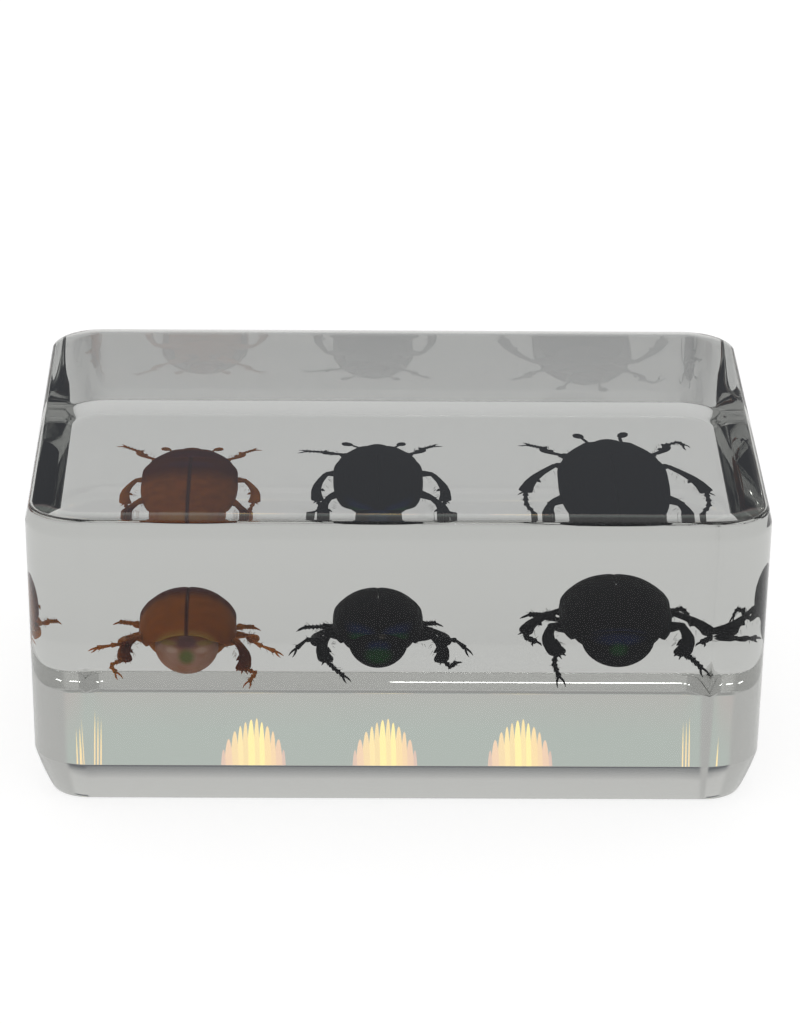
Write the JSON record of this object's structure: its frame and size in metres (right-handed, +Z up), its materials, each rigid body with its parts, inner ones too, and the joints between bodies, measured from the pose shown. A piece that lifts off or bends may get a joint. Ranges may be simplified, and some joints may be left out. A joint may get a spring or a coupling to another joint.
{
  "type": "insect in resin block",
  "caption": "Clear cast resin block with rounded bevels round its top and its foot, with chafer beetles sealed side by side inside, resting on its flat underside.",
  "frame": {"origin": "centre of the block's flat underside", "axes": "+X along the block's long side, +Y the way the beetles' heads point, +Z up through the bevelled top"},
  "size_m": [0.075, 0.0576, 0.0312],
  "materials": {
    "clear_resin": "polished clear cast resin",
    "brown_shell": "glossy reddish brown beetle shell, let through by light at its edges",
    "green_black_shell": "glossy finely pitted black beetle shell with a green sheen",
    "blue_black_shell": "glossy finely pitted black beetle shell with a blue sheen"
  },
  "bodies": {
    "root": {"resin_lower_half": "clear_resin", "resin_upper_half": "clear_resin", "brown_beetle": "brown_shell", "green_black_beetle": "green_black_shell", "blue_black_beetle": "blue_black_shell"}
  },
  "joints": []
}
